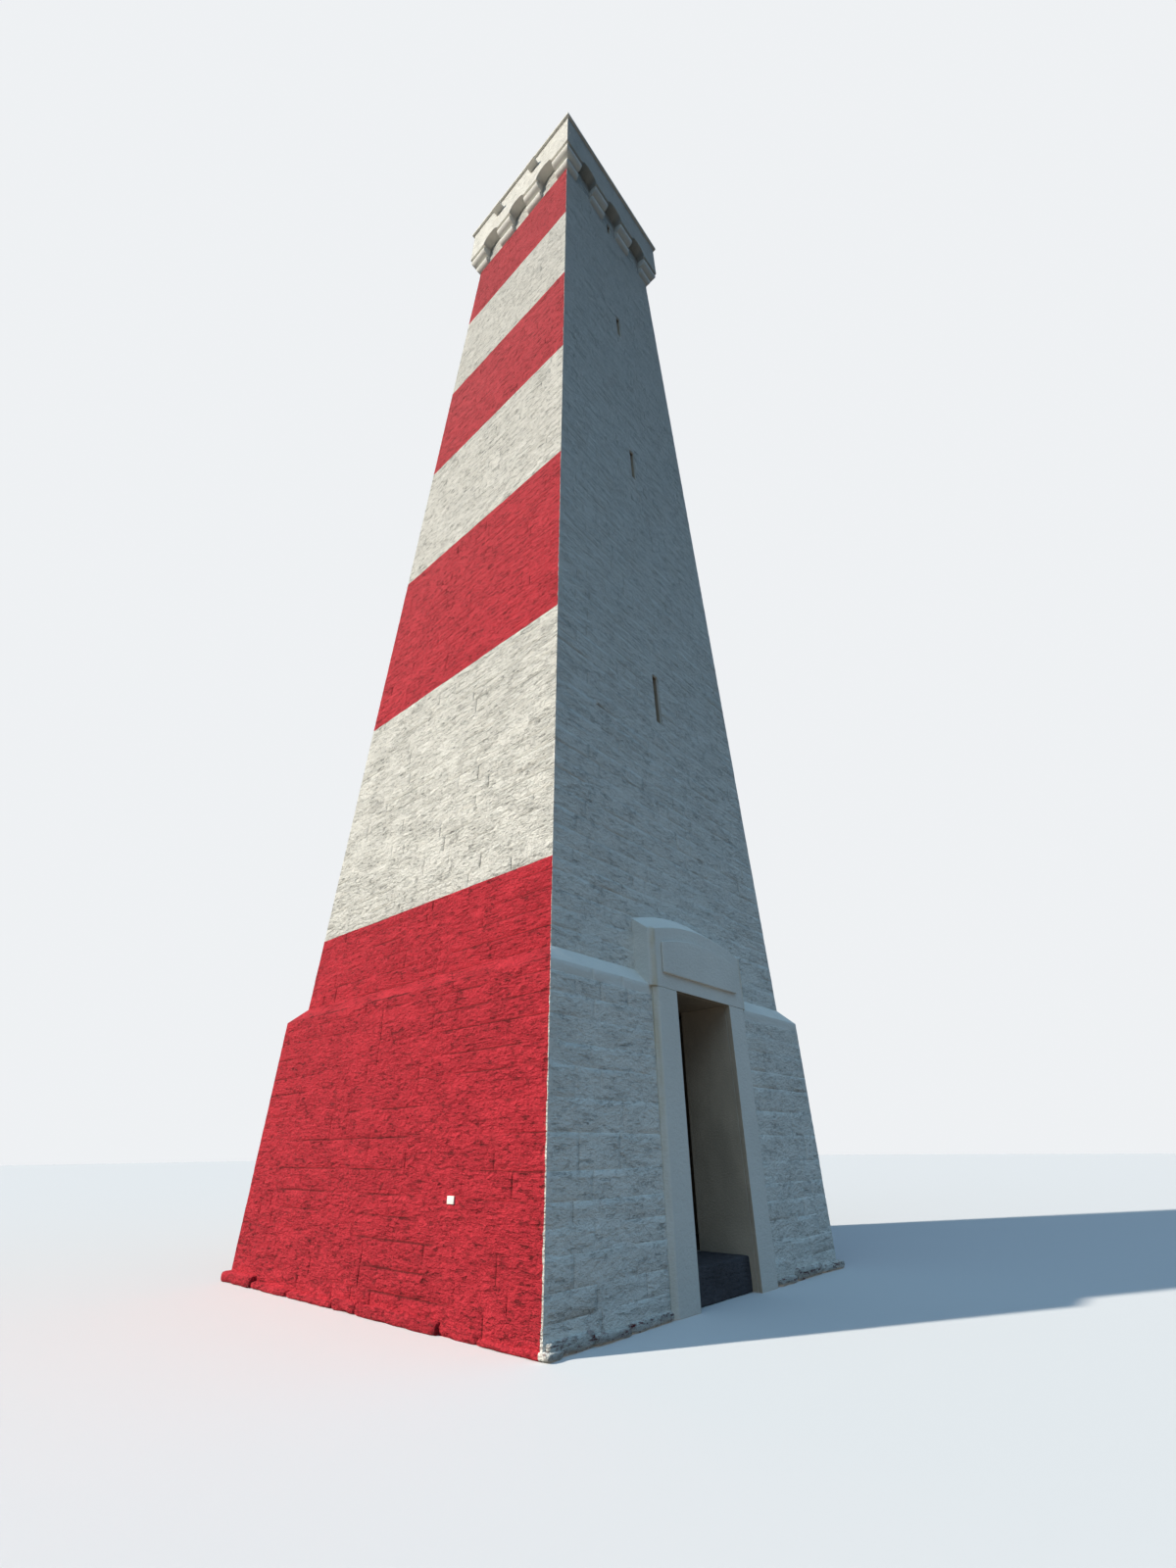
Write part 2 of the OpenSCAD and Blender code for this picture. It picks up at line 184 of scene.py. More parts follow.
def masonry_paint(name, paint, dirt_and_shade_strength, lapped=False, shaded_side=False, depth=0.05):
    """Paint brushed thickly over rough stone, with dirt and painted shade in its pits, chips and
    joints, and painted shade that deepens with height.
    """
    coat = Finish(name)
    flat = 0.55 if shaded_side else 1.0
    y, z = coat.axes()[1:]
    worked = coat.ramp(coat.cloud(2.6, (1, 1, 2.2), 3), 0.36, 0.64, 0.3, 1.0)
    torn = coat.ramp(coat.cloud(6, (0.8, 0.8, 3.2 * flat), 6, 0.66), 0.42, 0.58)
    ripples = coat.ramp(coat.cloud(12, (0.8, 0.8, 2.2), 6, 0.70), 0.37, 0.63)
    crumbs = coat.ramp(coat.cloud(28, (1, 1, 1.5), 4, 0.66), 0.34, 0.66)
    dashes = coat.ramp(coat.cloud(13, (0.8, 0.8, 3.0 * flat), 5, 0.62), 0.425, 0.395)
    specks = coat.ramp(coat.cloud(24, (0.9, 0.9, 1.7), 4, 0.72), 0.425, 0.375)
    grooves = coat.ramp(coat.cloud(7, (0.5, 0.5, 5.0 * flat), 6, 0.64), 0.385, 0.365)
    pits = coat.ramp(coat.cloud(6.5, (0.7, 0.7, 2.8 * flat), 5, 0.68), 0.425, 0.40)
    pits = coat.maths("MULTIPLY", pits, coat.ramp(z, 4, 13, 0.35, 1.0))
    grain = coat.cloud(170, detail=2)
    patches = coat.cloud(0.55, (1, 1, 1.4), 3)
    runs = coat.cloud(5, (1.6, 1.6, 0.12), 4)
    # Painted shade: darker higher up, for the ground's light fading with height; the shaded side
    # grows darker still, and is painted a little lighter near the foot.
    if shaded_side:
        light_and_shade_by_height = coat.maths("MULTIPLY", coat.ramp(z, 1, 7, 1.08, 0.82),
                          coat.ramp(z, 7, 22, 1.0, 0.62))
    else:
        light_and_shade_by_height = coat.ramp(z, 7, 24, 1.0, 0.79)
    tone = coat.shaded(paint, coat.maths(
        "MULTIPLY", light_and_shade_by_height, coat.ramp(patches, 0.3, 0.7, 0.965, 1.03)))
    if lapped:
        # Paler a little higher up, a painted sheen; at the front corners the front's white coat
        # laps onto it.
        tone = coat.mix(coat.ramp(z, 4, 16, 0.0, 0.034), tone, WHITE_PAINT)
        plinth = coat.maths("SUBTRACT", FOOT_HALF, coat.maths("MULTIPLY", z, PLINTH_LEAN))
        slope = coat.ramp(z, EDGE_Z, SHAFT_Z, EDGE_HALF, SHAFT_HALF)
        shaft = coat.maths("SUBTRACT", SHAFT_HALF + SHAFT_LEAN * SHAFT_Z,
                           coat.maths("MULTIPLY", z, SHAFT_LEAN))
        half = coat.blend(coat.maths("GREATER_THAN", z, SHAFT_Z),
                          coat.maths("MINIMUM", plinth, slope), shaft)
        lap = coat.ramp(coat.cloud(11, detail=3), 0.35, 0.65, -0.0115, -0.003)
        tone = coat.mix(coat.maths("LESS_THAN", coat.maths("ADD", y, half), lap),
                        tone, WHITE_PAINT)
    hollow = coat.node("ShaderNodeAttribute", {}, attribute_name="hollow").outputs["Fac"]
    upright = coat.ramp(coat.facing_up(), -0.7, -0.25)
    marks = coat.maths("MULTIPLY", dashes, worked)
    # The dark marks, grooves, specks and pits are dirt and also painted shade of pits and chips;
    # hollow paints shade into the joints.
    darkening = coat.total((marks, 0.60), (grooves, 0.34), (specks, 0.38), (pits, 0.55),
                      (hollow, 1.0))
    darkening = coat.total((darkening, coat.maths("MULTIPLY", upright, dirt_and_shade_strength)),
                      (coat.ramp(runs, 0.58, 0.72), 0.04))
    tone = coat.mix(darkening, tone, dirt_and_shade_tone(paint, 0.30, 0.06))
    height = coat.total((ripples, coat.ramp(worked, 0.3, 1.0, 0.10, 0.46)), (crumbs, 0.32),
                        (coat.maths("MULTIPLY", torn, worked), 0.34), (marks, -0.35),
                        (pits, -0.30), (grooves, -0.40), (grain, 0.05))
    height = coat.maths("MULTIPLY", height, coat.ramp(upright, 0.0, 1.0, 0.25, 1.0))
    return coat.close(tone, coat.ramp(crumbs, 0.3, 0.7, 0.86, 0.70), height, depth)


white_masonry = masonry_paint("white_paint_on_stone", WHITE_PAINT, 1.15)
crown_masonry = masonry_paint("white_paint_on_crown_stone", WHITE_PAINT, 0.8, depth=0.016)
# The white of the shaded front: a copy with fewer marks and with painted shade that deepens up
# the wall.
shaded_masonry = masonry_paint("white_paint_with_painted_shade", WHITE_PAINT, 0.45, shaded_side=True,
                               depth=0.022)
red_masonry = masonry_paint("red_paint_on_stone", RED_PAINT, 1.45, lapped=True)


def finished(name, mesh_work, material):
    """Closes a bmesh as one smooth piece of the tower."""
    mesh = bpy.data.meshes.new(name)
    mesh_work.to_mesh(mesh)
    mesh_work.free()
    for face in mesh.polygons:
        face.use_smooth = True
    mesh.materials.append(material)
    piece = bpy.data.objects.new(name, mesh)
    bpy.context.scene.collection.objects.link(piece)
    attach(piece, "root")
    return piece


def joined(works):
    """One bmesh from several."""
    whole = bmesh.new()
    whole.verts.layers.float.new("hollow")
    for work in works:
        part = bpy.data.meshes.new("part")
        work.to_mesh(part)
        work.free()
        whole.from_mesh(part)
        bpy.data.meshes.remove(part)
    return whole


def inside_cad(spot):
    """The spot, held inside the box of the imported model."""
    return Vector(max(low, min(high, at)) for low, high, at in zip(cad_low, cad_high, spot))


# noise_vector moves with this seed, and without it with the clock.
noise.seed_set(11)


def rough_stone(low, high, seed):
    """A squared block with worn edges and a rough face, between two corners."""
    size = high - low
    middle = (low + high) / 2
    stone = bmesh.new()
    bmesh.ops.create_cube(stone, size=1, matrix=(
        Matrix.Translation(middle) @ Matrix.Diagonal((*size, 1))))
    for axis in range(3):
        edges = [e for e in stone.edges
                 if abs((e.verts[0].co - e.verts[1].co)[axis]) > size[axis] / 2]
        cuts = max(2, round(size[axis] / FOOT_STONE_CELL))
        bmesh.ops.subdivide_edges(stone, edges=edges, cuts=cuts, use_grid_fill=True)
    for v in stone.verts:
        off = v.co - middle
        near = [abs(abs(off[i]) - size[i] / 2) < 1e-4 for i in range(3)]
        if sum(near) > 1:
            inward = Vector([math.copysign(FOOT_STONE_WEAR * near[i], off[i])
                             for i in range(3)])
            v.co -= inward * (sum(near) - 1) * 0.5
        rough = noise.noise_vector(v.co * 7 + Vector((seed, seed * 1.7, 0)))
        v.co = inside_cad(v.co + rough * FOOT_STONE_LUMP)
    return stone


def footing_stones():
    """The stones of all four sides; they stand out furthest at the back of the left side."""
    stones = []
    dice = random.Random(11)
    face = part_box("footing_course")[1].x
    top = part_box("footing_course")[1].z
    case_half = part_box("doorcase_right_jamb")[1].x
    runs = (
        (LEFT, -face, face), (RIGHT, -face, face), (BACK, -FOOT_HALF, FOOT_HALF),
        (FRONT, -FOOT_HALF, -case_half), (FRONT, case_half, FOOT_HALF))
    for side, start, end in runs:
        along = UP.cross(side)
        at = start
        while at < end - 0.01:
            length = dice.uniform(*FOOT_STONE_LENGTHS)
            if end - at - length < FOOT_STONE_LENGTHS[0]:
                length = end - at
            bold = max(0.0, 1 - (at - start) / BOLD_LENGTH) if side == LEFT else 0.3
            share = min(1.0, dice.uniform(0.3, 0.7) + 0.4 * bold)
            reach = FOOT_HALF + (face - FOOT_HALF) * share
            corners = [side * (FOOT_HALF - FOOT_STONE_BEDDED) + along * (at + FOOT_STONE_GAP),
                       side * reach + along * (at + length - FOOT_STONE_GAP)]
            low = Vector(map(min, *corners))
            high = Vector(map(max, *corners))
            low.z, high.z = 0.0, top * dice.uniform(0.42, 0.9)
            stones.append(rough_stone(low, high, dice.uniform(0, 90)))
            at += length
    return joined(stones)


footing = finished("footing_stones", footing_stones(), red_masonry)
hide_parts("footing_course")


# Walls of the plinth and shaft: coursed rubble, squared by hand and laid in mortar,
# with beds that run level round the tower and corner stones long and short in turn.
# Each stone here is a rough face on the wall, and the joints lie back to the wall.

COURSE = 0.19
SHORT_LIFT = 0.3
LONG_QUOIN = 0.52
SHORT_QUOIN = 0.30
STRETCHERS = (0.26, 0.34, 0.45, 0.58)
LONGEST_REST = 0.85
SPLIT_OVER = 0.6
SHORTEST_CLOSER = 0.2
SLIVER = 0.08
CELL_ACROSS = 0.048
CELL_UP = 0.045
RIM = (0.004, 0.007)
WIDER_RIMS = (1.6, 1.6, 2.4, 2.4)
JOINT = 0.0015
JOINT_REACH = 0.0085
CROSS_JOINT_REACH = 0.009
ARRIS = 0.0105
HOLLOW_DEPTH = 0.005

BANDS = ("red_1", "white_1", "red_2", "white_2", "red_3", "white_3", "red_4")
SLITS = ((6.26, 7.12), (11.83, 12.69), (17.17, 18.03), (22.82, 23.42))
CROWN_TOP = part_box("side_walls_crown")[1].z
FIXED_BEDS = sorted({
    0.0, PLINTH_TOP, EDGE_Z, SHAFT_Z, CROWN_Z, CROWN_TOP,
    *(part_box(f"back_wall_{band}")[1].z for band in BANDS[:-1]),
    *(z for slit in SLITS for z in slit)})


def course_beds():
    """Heights of all the beds, from the ground to the top of the crown."""
    dice = random.Random(4)
    beds = [0.0]
    for low, high in zip(FIXED_BEDS, FIXED_BEDS[1:]):
        count = max(1, round((high - low) / COURSE))
        shares = [dice.uniform(0.72, 1.28) for _ in range(count)]
        if high - low < SHORT_LIFT:
            shares = [1] * count
        scale = (high - low) / sum(shares)
        for share in shares[:-1]:
            beds.append(beds[-1] + share * scale)
        beds.append(high)
    return beds


BEDS = course_beds()


def half_width(z):
    """Half the width of the walls at a height: plinth, set-off slope, shaft, then crown."""
    if z <= EDGE_Z:
        return FOOT_HALF - PLINTH_LEAN * z
    if z < SHAFT_Z:
        return EDGE_HALF + (SHAFT_HALF - EDGE_HALF) * (z - EDGE_Z) / (SHAFT_Z - EDGE_Z)
    return max(TOP_HALF, SHAFT_HALF - SHAFT_LEAN * (z - SHAFT_Z))


def arris_reach(z):
    """How far the corner of the stones stands off the walls, a little uneven up its height."""
    return ARRIS + 0.002 * noise.noise((3.1, 0.7, z * 4.3)) + 0.002 * noise.noise((0, 0, z * 15))


def bed_reach(spot):
    """How far a level joint stands off the wall: bare in some places, filled in others."""
    full = noise.noise(spot * 1.3) + 0.5 * noise.noise(spot * 5)
    return JOINT + JOINT_REACH * max(0.0, min(1.0, 0.50 + 1.7 * full))


def cross_joint_reach(spot):
    """How far an upright joint stands off the wall: most are filled with paint."""
    full = 2.2 * noise.noise(spot * 2.3 + UP * 9)
    return JOINT + CROSS_JOINT_REACH * max(0.0, min(1.0, 1.0 + full))


def stone_face(mesh_work, hollow, side, low, high, start, end, corners, seed):
    """One stone: a grid that follows the wall, with its rim laid back to the joint."""
    along = UP.cross(side)
    dice = random.Random(seed)
    width, height = end - start, high - low
    across = max(3, round(width / CELL_ACROSS) + 2)
    upward = max(3, round(height / CELL_UP) + 2)
    made = bmesh.ops.create_grid(
        mesh_work, x_segments=across, y_segments=upward, size=0.5)["verts"]
    proud = dice.choice((0.010, 0.0105, 0.011, 0.012, 0.013))
    tilt = dice.uniform(-0.0015, 0.0015)
    rough = dice.choice((0.002, 0.003, 0.005, 0.008))
    if side == FRONT:
        rough = min(rough, 0.003)
    # The stones of the front's set-off are cut flat.
    if side == FRONT and PLINTH_TOP - 0.01 < low < SHAFT_Z - 0.01:
        proud, tilt, rough = 0.010, 0.0, 0.001
    rims = [dice.uniform(*RIM) / size for size in (width, width, height, height)]
    if side != FRONT:
        rims = [wider * rim for wider, rim in zip(WIDER_RIMS, rims)]

    def step(number, count, first, last):
        """Where a grid line lies, from 0 to 1: a rim at each end and even cells between."""
        if number < 2:
            return (0.0, first)[number]
        if number > count - 2:
            return (1 - last, 1.0)[number - count + 1]
        return first + (1 - first - last) * (number - 1) / (count - 2)

    for v in made:
        i = round((v.co.x + 0.5) * across)
        j = round((v.co.y + 0.5) * upward)
        u = step(i, across, rims[0], rims[1])
        w = step(j, upward, rims[2], rims[3])
        z = low + w * height
        half = half_width(z)
        left = -half if corners[0] else start
        right = half if corners[1] else end
        s = left + u * (right - left)
        at_corner = (corners[0] and i == 0) or (corners[1] and i == across)
        spot = side * half + along * s + UP * z
        if j in (0, upward):
            reach = bed_reach(spot)
            # On the front, the paint nearly fills the beds.
            if side == FRONT:
                reach = 0.0065 + 0.4 * reach
            if min(abs(z - bed) for bed in FIXED_BEDS) > 0.01 and i not in (0, across):
                z += 0.007 * noise.noise(Vector((s * 2.2, z * 3, half))) \
                    + 0.003 * noise.noise(Vector((s * 9, z * 3, half)))
            if at_corner:
                reach = arris_reach(z) - 0.001
                s += math.copysign(reach, s)
        elif at_corner:
            reach = arris_reach(z)
            s += math.copysign(reach, s)
        elif i in (0, across):
            reach = cross_joint_reach(spot)
        else:
            lumps = noise.noise(spot * Vector((8, 8, 14)) + Vector((seed % 97, 0, 0)))
            lumps += 0.8 * noise.noise(spot * Vector((19, 19, 36)))
            reach = proud + tilt * (u - 0.5) * 2 + 0.003 * (w - 0.4)
            reach += 0.3 * rough * lumps - 1.3 * rough * max(0.0, lumps - 0.12)
            reach = max(JOINT, reach)
        v.co = side * (half + reach) + along * s + UP * z
        # 1 at the bottom of a joint, where the paint holds most dirt and the material paints
        # shade in.
        v[hollow] = max(0.0, 1 - (reach - JOINT) / HOLLOW_DEPTH)


def stone_wall(side, from_z, to_z, spans=None, seed=0):
    """The stones of one wall between two beds; spans bound the courses of the front."""
    mesh_work = bmesh.new()
    hollow = mesh_work.verts.layers.float.new("hollow")
    number = 0
    for course, (low, high) in enumerate(zip(BEDS, BEDS[1:])):
        if high < from_z + 0.01 or low > to_z - 0.01:
            continue
        half = half_width((low + high) / 2)
        dice = random.Random(course * 7 + seed)
        runs = [(-half, half)]
        if spans:
            runs = spans(low, high, half)
        long_first = (course % 2 == 0) == (side in (LEFT, RIGHT))
        for first, last in runs:
            joints = [first]
            left_end, right_end = first == -half, last == half
            quoin = LONG_QUOIN if long_first else SHORT_QUOIN
            if left_end:
                joints.append(first + quoin * dice.uniform(0.9, 1.15))
            stop = last - (quoin * dice.uniform(0.9, 1.15) if right_end else 0)
            while stop - joints[-1] > LONGEST_REST:
                joints.append(joints[-1] + dice.choice(STRETCHERS) * dice.uniform(0.85, 1.2))
            if stop - joints[-1] > SHORTEST_CLOSER and right_end:
                joints.append(stop)
            elif stop - joints[-1] > SPLIT_OVER:
                joints.append((stop + joints[-1]) / 2)
            if last - joints[-1] < SLIVER and len(joints) > 1:
                joints.pop()
            joints.append(last)
            for start, end in zip(joints, joints[1:]):
                number += 1
                stone_face(mesh_work, hollow, side, low, high, start, end,
                           (left_end and start == first, right_end and end == last),
                           seed * 5000 + course * 40 + number % 40)
    return mesh_work


DOOR_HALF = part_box("doorcase_right_jamb")[0].x
DOOR_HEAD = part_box("doorcase_head")[0].z
CASE_LAP = 0.002


def beside_doorcase(low, high, half):
    """The two spans of a course on the front, left and right of the doorcase."""
    case = "doorcase_right_jamb" if high < DOOR_HEAD + 0.005 else "doorcase_head"
    case_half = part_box(case)[1].x
    return [(-half, -case_half + CASE_LAP), (case_half - CASE_LAP, half)]


finished("plinth_side_stones", joined([
    stone_wall(LEFT, 0, PLINTH_TOP, seed=1), stone_wall(RIGHT, 0, PLINTH_TOP, seed=2)]),
    red_masonry)
finished("plinth_back_stones", stone_wall(BACK, 0, PLINTH_TOP, seed=3),
         red_masonry)
finished("plinth_front_stones", stone_wall(FRONT, 0, PLINTH_TOP, beside_doorcase, 4),
         shaded_masonry)


# Painted bands of the shaft: the left, right and back walls change from red to white
# and back at a bed, and each band is one lift of the same coursed rubble.

for number, band in enumerate(BANDS):
    low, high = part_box(f"back_wall_{band}")
    colour = band.split("_")[0]
    masonry = red_masonry if colour == "red" else white_masonry
    finished(f"side_stones_{band}", joined([
        stone_wall(LEFT, low.z, high.z, seed=10 + number),
        stone_wall(RIGHT, low.z, high.z, seed=20 + number)]),
        masonry)
    finished(f"back_stones_{band}", stone_wall(BACK, low.z, high.z, seed=30 + number),
             masonry)


# Front wall of the shaft: white from foot to crown, with four slits one above another.
# The stones stop at the reveals of the slits, and the head of the doorcase stands before
# the lowest ones in the middle.

SLIT_HALF = 0.065


def round_slits(low, high, half):
    """The span of a course on the front, or the two beside a slit."""
    middle = (low + high) / 2
    if any(sill < middle < head for sill, head in SLITS):
        return [(-half, -SLIT_HALF), (SLIT_HALF, half)]
    return [(-half, half)]


stage_bed = SHAFT_Z
for number, stage in enumerate(("lower", "middle", "upper")):
    stage_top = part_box(f"front_wall_{stage}")[1].z
    next_bed = max(z for z in BEDS if z <= stage_top + 0.1)
    finished(f"front_stones_{stage}",
             stone_wall(FRONT, stage_bed, next_bed, round_slits, 40 + number),
             shaded_masonry)
    stage_bed = next_bed
finished("front_stones_top", stone_wall(FRONT, stage_bed, CROWN_Z, round_slits, 44),
         shaded_masonry)


# Crown walls: the upright top of the shaft, behind the corbels and under the arches.
# The same rubble goes on up to the round undersides of the arches.

finished("crown_stones", joined([
    stone_wall(side, CROWN_Z, CROWN_TOP, round_slits if side == FRONT else None, 50 + number)
    for number, side in enumerate((LEFT, RIGHT, BACK, FRONT))]),
    white_masonry)


# Plain walls behind the stones: their outer faces show in the joints, in the same paint.
# The reveals of the doorway and the inside of the tower are beige plaster.

PLASTER = (0.62, 0.51, 0.385, 1)
PLINTH_SKIN = 0.1
SHAFT_SKIN = 0.02


def reveal_plaster(finish):
    """The tone of the plaster: blotchy, with painted shade on faces that look down, such as the
    soffit over the door.
    """
    blots = finish.cloud(2.2, (1, 1, 0.5), 4)
    # Painted shade: faces that look down are darker.
    value = finish.maths("MULTIPLY", finish.ramp(finish.facing_up(), -0.9, -0.5, 0.45, 1.0),
                         finish.ramp(blots, 0.3, 0.7, 0.75, 1.12))
    return finish.shaded(PLASTER, value)


def in_doorway(finish, x, z, side_play, head_play):
    """1 between the reveals of the doorway and under its head, and 0 elsewhere."""
    beside = finish.maths("LESS_THAN", finish.maths("ABSOLUTE", x), DOOR_HALF + side_play)
    return finish.maths("MULTIPLY", beside, finish.maths("LESS_THAN", z, DOOR_HEAD + head_play))


def wall_core(name, paint):
    """The wall behind the stones: painted outside, plastered within and in the doorway."""
    core = Finish(name)
    x, y, z = core.axes()
    fine = core.cloud(60)
    out = core.maths("MAXIMUM", core.maths("ABSOLUTE", x), core.maths("ABSOLUTE", y))
    half = core.blend(
        core.maths("GREATER_THAN", z, SHAFT_Z), EDGE_HALF - PLINTH_SKIN,
        core.maths("SUBTRACT", SHAFT_HALF + SHAFT_LEAN * SHAFT_Z - SHAFT_SKIN,
                   core.maths("MULTIPLY", z, SHAFT_LEAN)))
    inside = core.maths("LESS_THAN", out, half)
    bare = core.maths("MAXIMUM", inside, in_doorway(core, x, z, 0.001, 0.005))
    tone = core.mix(bare, paint, reveal_plaster(core))
    return core.close(tone, core.ramp(fine, 0.3, 0.7, 0.85, 0.7), fine, 0.004)


white_core = wall_core("white_painted_wall", WHITE_PAINT)
red_core = wall_core("red_painted_wall", RED_PAINT)

cores = {
    white_core: ["plinth_front_left_wall", "plinth_front_right_wall", "plinth_over_door_wall",
                 "front_wall_lower", "front_wall_middle", "front_wall_upper",
                 "front_wall_crown", "side_walls_crown", "back_wall_crown", "set_off_front"],
    red_core: ["plinth_side_walls", "plinth_back_wall", "set_off_sides", "set_off_back"]}
for band in BANDS:
    core = red_core if band.startswith("red") else white_core
    cores[core] += [f"side_walls_{band}", f"back_wall_{band}"]
for core, names in cores.items():
    for name in names:
        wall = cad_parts[name]
        wall.data.materials.clear()
        wall.data.materials.append(core)


# Dressed stones: the set-off course, doorcase, corbels, parapets, copings and lugs were
# cut to shape with fine tools, so their faces are smoother and their edges worn round.

CHAMFER_X = 0.87
CASE_FACE_Y = -2.29
CHAMFER_STAIN = (0.66, 0.56, 0.38, 1)


def dressed_paint(name, paint):
    """Paint on cut stone: brush marks, light dirt, painted shade that deepens with height, and an
    old stain on the door's chamfers.
    """
    work = Finish(name)
    x, y, z = work.axes()
    brushed = work.cloud(22, (1, 1, 1.5), 6, 0.62)
    grain = work.cloud(120, detail=3)
    patches = work.cloud(1.1, (1, 1, 1), 3)
    # Painted shade: the paint is darker higher up, for the ground's light fading with height.
    tone = work.shaded(paint, work.maths("MULTIPLY", work.ramp(z, 7, 24, 1.0, 0.82),
                                         work.ramp(patches, 0.3, 0.7, 0.86, 0.95)))
    darkening = work.maths("MULTIPLY", work.ramp(brushed, 0.40, 0.28), 0.12)
    tone = work.mix(darkening, tone, dirt_and_shade_tone(paint, 0.35, 0.2))
    from_chamfer = work.maths(
        "ABSOLUTE", work.maths("SUBTRACT", work.maths("ABSOLUTE", x), CHAMFER_X))
    stain = work.maths("MULTIPLY", work.ramp(from_chamfer, 0.05, 0.015),
                       work.maths("MULTIPLY", work.maths("LESS_THAN", y, CASE_FACE_Y),
                                  work.ramp(z, 0.5, 3.0, 0.3, 0.85)))
    stain = work.maths("MULTIPLY", stain, work.ramp(work.cloud(4, (1, 1, 0.6), 4), 0.3, 0.6))
    tone = work.mix(stain, tone, CHAMFER_STAIN)
    tone = work.mix(in_doorway(work, x, z, 0.0015, 0.002), tone, reveal_plaster(work))
    height = work.maths("ADD", brushed, work.maths("MULTIPLY", grain, 0.1))
    return work.close(tone, work.ramp(brushed, 0.3, 0.7, 0.82, 0.66), height, 0.007)


white_dressed = dressed_paint("white_paint_on_cut_stone", WHITE_PAINT)


# Set-off course: one thin bed of cut stones flush with the plinth, and a sloping one above
# it that throws the rain off where the plinth ends and the narrower shaft begins.

finished("set_off_side_stones", joined([
    stone_wall(LEFT, PLINTH_TOP, SHAFT_Z, seed=5),
    stone_wall(RIGHT, PLINTH_TOP, SHAFT_Z, seed=6)]), red_masonry)
finished("set_off_back_stones", stone_wall(BACK, PLINTH_TOP, SHAFT_Z, seed=7),
         red_masonry)
finished("set_off_front_stones", stone_wall(FRONT, PLINTH_TOP, SHAFT_Z, beside_doorcase, 8),
         white_dressed)


# Doorcase, corbels, parapets, copings and lugs: each is the node's own solid with its edges
# worn and its faces a little uneven. The parapets have the thick paint of the walls, and
# the other pieces the thinner paint of cut stone.

SHARP = math.radians(28)
MOST_FACES = 45000
REVEAL_BACK_Y = -1.6


def dressed(node, material, worn=0.008, cell=0.09, lump=0.0025):
    """A piece that stands for the node; the reveals of the doorway stay true."""
    mesh_work = bmesh.new()
    mesh_work.from_mesh(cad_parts[node].data)
    bmesh.ops.remove_doubles(mesh_work, verts=mesh_work.verts, dist=1e-5)
    bmesh.ops.dissolve_limit(mesh_work, angle_limit=math.radians(1), verts=mesh_work.verts,
                             edges=mesh_work.edges)
    sharp = [e for e in mesh_work.edges
             if len(e.link_faces) == 2 and e.calc_face_angle(0) > SHARP]
    bmesh.ops.bevel(mesh_work, geom=sharp, offset=worn, offset_type="OFFSET", affect="EDGES",
                    segments=2, profile=0.5, material=-1, clamp_overlap=True)
    bmesh.ops.triangulate(mesh_work, faces=mesh_work.faces)
    for _ in range(4):
        long = [e for e in mesh_work.edges if e.calc_length() > cell * 1.6]
        if not long or len(mesh_work.faces) > MOST_FACES:
            break
        bmesh.ops.subdivide_edges(mesh_work, edges=long, cuts=1, use_grid_fill=False)
        bmesh.ops.triangulate(mesh_work, faces=[f for f in mesh_work.faces if len(f.verts) > 3])
    mesh_work.normal_update()
    for v in mesh_work.verts:
        spot = v.co * 6
        push = v.normal * lump * (noise.noise(spot) + 0.5 * noise.noise(spot * 2.7) - 0.7)
        if abs(v.co.x) < DOOR_HALF + 0.02 and v.co.y < REVEAL_BACK_Y:
            push.x = 0.0
            push.z = 0.0
        v.co = inside_cad(v.co + push)
    piece = finished(f"{node}_stone", mesh_work, material)
    piece.modifiers.new("weighted_normals", "WEIGHTED_NORMAL")
    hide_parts(node)


for node in ("doorcase_left_jamb", "doorcase_right_jamb", "doorcase_head", "doorcase_plate",
             "lower_corbels", "upper_corbels"):
    dressed(node, white_dressed)
for node, material in (
        ("parapet_front", shaded_masonry), ("parapet_left", crown_masonry),
        ("parapet_back", crown_masonry), ("parapet_right", crown_masonry),
        ("coping_front_back", white_dressed), ("coping_left_right", white_dressed),
        ("parapet_lugs", white_dressed)):
    dressed(node, material, lump=0.001)


# Step and floors: the door step is worn dark slate with a rough riser, the ground floor
# is laid in grey flags, and the roof slab behind the parapet is bare grey stone.

def bare_stone(name, stone, low, high, scale):
    """Unpainted stone, layered level, its tone patchy between the low and high factor."""
    rock = Finish(name)
    beds = rock.cloud(scale, (1, 1, 3), 7, 0.62)
    patches = rock.cloud(2.5, detail=3)
    tone = rock.shaded(stone, rock.ramp(patches, 0.3, 0.7, low, high))
    tone = rock.mix(rock.maths("MULTIPLY", rock.ramp(beds, 0.45, 0.3), 0.6), tone,
                    tuple(c * 0.4 for c in stone[:3]) + (1,))
    return rock.close(tone, rock.ramp(beds, 0.3, 0.7, 0.85, 0.55), beds, 0.02)


slate = bare_stone("worn_slate", (0.052, 0.057, 0.068, 1), 0.8, 1.25, 18)
flags = bare_stone("grey_flags", (0.27, 0.25, 0.22, 1), 0.8, 1.15, 10)
dressed("door_step", slate, worn=0.018, cell=0.05, lump=0.007)
for name in ("ground_floor", "roof_slab"):
    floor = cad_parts[name]
    floor.data.materials.clear()
    floor.data.materials.append(flags)


# Wall plate: a small bare plate fixed low on the left side of the plinth. It is painted
# white, and it stands on the faces of the red stones.

PLATE_Y = -1.26
PLATE_Z = 0.82
PLATE_SIZE = (0.012, 0.085, 0.055)
PLATE_OFF_WALL = 0.018
PLATE_EDGE = 0.003


